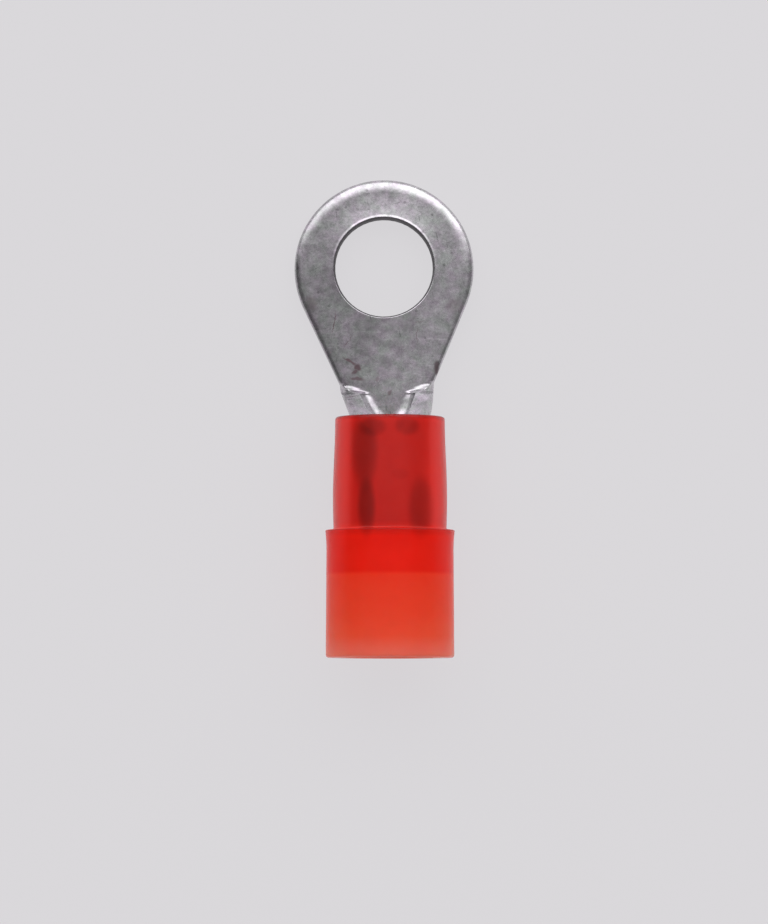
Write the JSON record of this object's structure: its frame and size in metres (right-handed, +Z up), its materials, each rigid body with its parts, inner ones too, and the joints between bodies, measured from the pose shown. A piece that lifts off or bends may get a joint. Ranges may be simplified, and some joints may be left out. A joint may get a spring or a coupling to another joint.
{
  "type": "ring terminal",
  "caption": "Crimp ring terminal: flat ring tongue with a stud hole, rolled barrel for the bare wire and a moulded insulating sleeve that widens over the wire's insulation.",
  "frame": {"origin": "centre of the stud hole, on the underside of the tongue", "axes": "+Z up out of the stud hole, on the side where the barrel's edges meet; +Y towards the ring's tip; -Y along the barrel, the way the wire leaves"},
  "size_m": [0.0078, 0.0211, 0.0057],
  "materials": {
    "tinned_copper": "satin",
    "red_nylon": "satin"
  },
  "bodies": {
    "root": {"terminal": "tinned_copper", "insulator": "red_nylon"}
  },
  "joints": []
}
